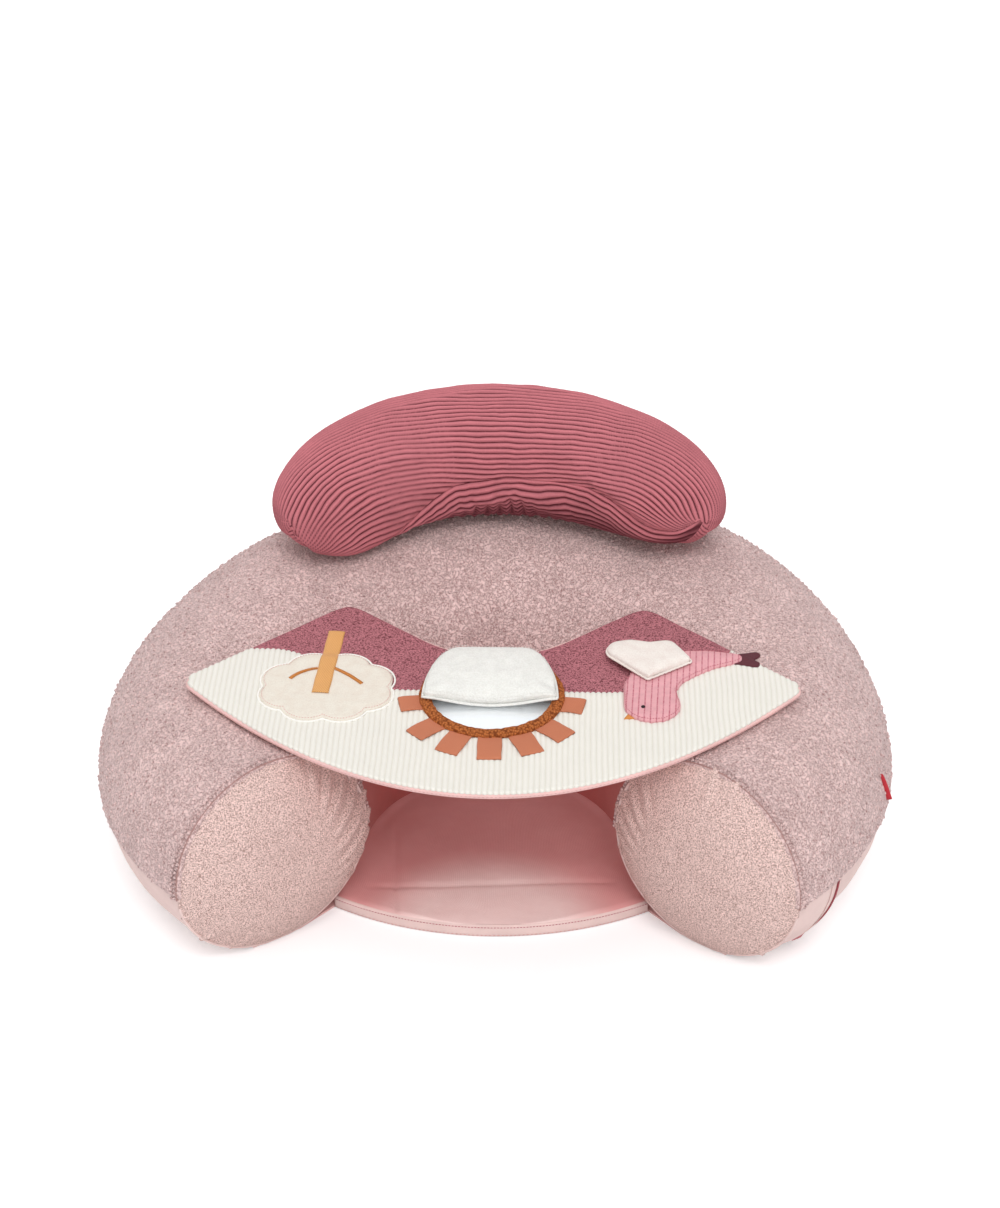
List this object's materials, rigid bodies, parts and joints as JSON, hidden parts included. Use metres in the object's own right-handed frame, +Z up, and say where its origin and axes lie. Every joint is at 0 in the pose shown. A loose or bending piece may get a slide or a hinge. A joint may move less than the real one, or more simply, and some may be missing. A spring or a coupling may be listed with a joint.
{
  "type": "baby floor seat",
  "caption": "C-shaped padded ring seat with a floor, a lift-off activity tray with mirror and flaps, and a lift-off crescent head cushion.",
  "frame": {"origin": "on the floor under the centre of the ring's plan circle, on the underside of the base panel", "axes": "+Z up, +Y towards the ring's closed back, +X to the right when looking at the open front, which faces -Y"},
  "size_m": [0.7246, 0.5869, 0.3633],
  "materials": {
    "chamber_film": "smooth",
    "valve_plastic": "smooth",
    "teddy_fleece": "short curly pile",
    "woven_light": "smooth woven",
    "woven_pink": "smooth woven",
    "woven_shade": "smooth woven",
    "velour_end": "mottled velour",
    "pad_foam": "soft foam between two layers of lining",
    "zip_tape_fabric": "woven tape",
    "zip_nylon": "satin",
    "zip_metal": "satin",
    "tag_ribbon": "ribbon",
    "hook_tape": "hook tape",
    "loop_tape": "loop tape",
    "tray_core": "smooth",
    "corduroy_cream": "fine corduroy",
    "velour_burgundy": "velour",
    "mirror_film": "polished",
    "terry_rust": "terry",
    "terry_white": "terry",
    "ribbon_terracotta": "woven ribbon",
    "foliage_velour": "velour",
    "ribbon_mustard": "twill ribbon",
    "thread_mustard": "satin stitch",
    "bird_stripe": "pinstriped woven",
    "felt_plum": "felt",
    "thread_black": "satin stitch",
    "wing_velour": "velour",
    "cushion_fibre": "loose fibre",
    "corduroy_rose": "corduroy"
  },
  "bodies": {
    "seat": {"air_chamber": "chamber_film", "air_valve": "valve_plastic", "valve_cap": "valve_plastic", "fleece_cover": "teddy_fleece", "outer_band": "woven_light", "inner_wall": "woven_shade", "end_disc_left": "velour_end", "end_disc_right": "velour_end", "base_panel": "woven_pink", "base_pad": "pad_foam", "floor_panel": "woven_pink", "front_band": "woven_pink", "zip_tape": "zip_tape_fabric", "zip_coil": "zip_nylon", "side_tag": "tag_ribbon", "arm_hook_patches": "hook_tape", "cushion_hook_strip": "hook_tape"},
    "tray": {"tray_backing": "woven_pink", "tray_board": "tray_core", "tray_padding": "pad_foam", "tray_corduroy": "corduroy_cream", "tray_velour": "velour_burgundy", "tray_binding": "woven_pink", "tray_loop_patches": "loop_tape", "mirror_plate": "mirror_film", "mirror_bezel": "terry_rust", "foliage_pad": "foliage_velour", "trunk_ribbon": "ribbon_mustard", "tree_branches": "thread_mustard", "bird_body": "bird_stripe", "bird_tail": "felt_plum", "bird_beak": "ribbon_mustard", "bird_eye": "thread_black"},
    "head_cushion": {"cushion_filling": "cushion_fibre", "cushion_top_cover": "corduroy_rose", "cushion_front_cover": "corduroy_rose", "cushion_underside": "corduroy_rose", "cushion_loop_strip": "loop_tape"},
    "zip_slider": {"zip_slider": "zip_metal"},
    "mirror_flap": {"mirror_flap": "terry_white"},
    "bird_wing": {"bird_wing": "wing_velour"},
    "sun_ray_1": {"sun_ray_1": "ribbon_terracotta"},
    "sun_ray_2": {"sun_ray_2": "ribbon_terracotta"},
    "sun_ray_3": {"sun_ray_3": "ribbon_terracotta"},
    "sun_ray_4": {"sun_ray_4": "ribbon_terracotta"},
    "sun_ray_5": {"sun_ray_5": "ribbon_terracotta"},
    "sun_ray_6": {"sun_ray_6": "ribbon_terracotta"},
    "sun_ray_7": {"sun_ray_7": "ribbon_terracotta"}
  },
  "joints": [
    {"name": "tray_lift", "type": "slide", "parent": "seat", "child": "tray", "axis": [0, 0, 1], "range_m": [0, 0.15]},
    {"name": "cushion_lift", "type": "slide", "parent": "seat", "child": "head_cushion", "axis": [0, 0, 1], "range_m": [0, 0.2]},
    {"name": "mirror_flap_hinge", "type": "hinge", "parent": "tray", "child": "mirror_flap", "pos_m": [0, -0.0045, 0.215], "axis": [-1, 0, 0], "range_deg": [0, 150]},
    {"name": "bird_wing_hinge", "type": "hinge", "parent": "tray", "child": "bird_wing", "pos_m": [0.1398, -0.04573, 0.21112], "axis": [0.8, 0.5985, 0.0419], "range_deg": [0, 90]},
    {"name": "sun_ray_1_hinge", "type": "hinge", "parent": "tray", "child": "sun_ray_1", "pos_m": [-0.06322, -0.0792, 0.20397], "axis": [-0.1908, 0.9792, 0.0685], "range_deg": [0, 70]},
    {"name": "sun_ray_2_hinge", "type": "hinge", "parent": "tray", "child": "sun_ray_2", "pos_m": [-0.0471, -0.11076, 0.20176], "axis": [-0.682, 0.7296, 0.051], "range_deg": [0, 70]},
    {"name": "sun_ray_3_hinge", "type": "hinge", "parent": "tray", "child": "sun_ray_3", "pos_m": [-0.02568, -0.12586, 0.2007], "axis": [-0.9171, 0.3978, 0.0278], "range_deg": [0, 70]},
    {"name": "sun_ray_4_hinge", "type": "hinge", "parent": "tray", "child": "sun_ray_4", "pos_m": [0, -0.13118, 0.20033], "axis": [-1, 0, 0], "range_deg": [0, 70]},
    {"name": "sun_ray_5_hinge", "type": "hinge", "parent": "tray", "child": "sun_ray_5", "pos_m": [0.02568, -0.12586, 0.2007], "axis": [-0.9171, -0.3978, -0.0278], "range_deg": [0, 70]},
    {"name": "sun_ray_6_hinge", "type": "hinge", "parent": "tray", "child": "sun_ray_6", "pos_m": [0.0471, -0.11076, 0.20176], "axis": [-0.682, -0.7296, -0.051], "range_deg": [0, 70]},
    {"name": "sun_ray_7_hinge", "type": "hinge", "parent": "tray", "child": "sun_ray_7", "pos_m": [0.06322, -0.0792, 0.20397], "axis": [-0.1908, -0.9792, -0.0685], "range_deg": [0, 70]},
    {"name": "zip_slide", "type": "hinge", "parent": "seat", "child": "zip_slider", "pos_m": [0.21685, -0.11949, 0.0903], "axis": [-0.4826, -0.8758, 0], "range_deg": [0, 41]}
  ]
}
